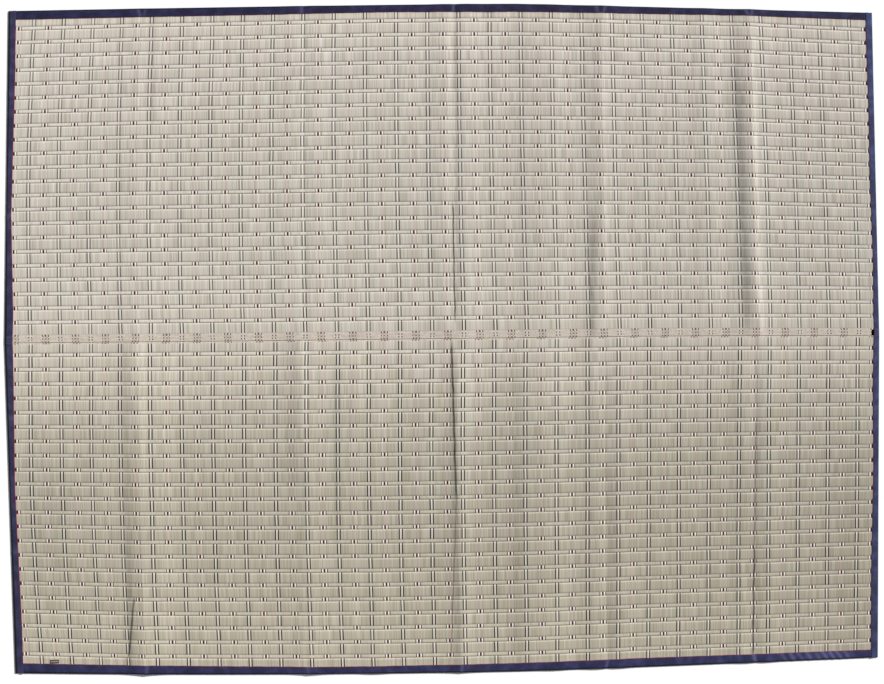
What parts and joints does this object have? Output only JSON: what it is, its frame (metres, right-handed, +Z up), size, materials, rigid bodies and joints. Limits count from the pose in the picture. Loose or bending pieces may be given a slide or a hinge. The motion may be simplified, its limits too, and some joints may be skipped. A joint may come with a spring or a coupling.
{
  "type": "rush floor mat",
  "caption": "Flat rectangular floor mat of banded woven rush in two widths joined by a centre seam, bound all round with dark cotton tape.",
  "frame": {"origin": "on the floor, at the middle of the mat's outline", "axes": "+X along the length, from the labelled end to the other; +Y across the two widths, away from the labelled edge; +Z up, away from the floor"},
  "size_m": [2.522, 1.9268, 0.0088],
  "materials": {
    "rush_cloth": "dry split-free rush stalks in wide and narrow bands, satin, pale straw with dark and maroon dyed stalks",
    "binding_tape": "matt navy cotton tape with small puckers",
    "label_cloth": "dark woven label, left bare"
  },
  "bodies": {
    "root": {"rush_width_far": "rush_cloth", "rush_width_near": "rush_cloth", "binding_far": "binding_tape", "binding_near": "binding_tape", "binding_left": "binding_tape", "binding_right": "binding_tape", "label": "label_cloth"}
  },
  "joints": []
}
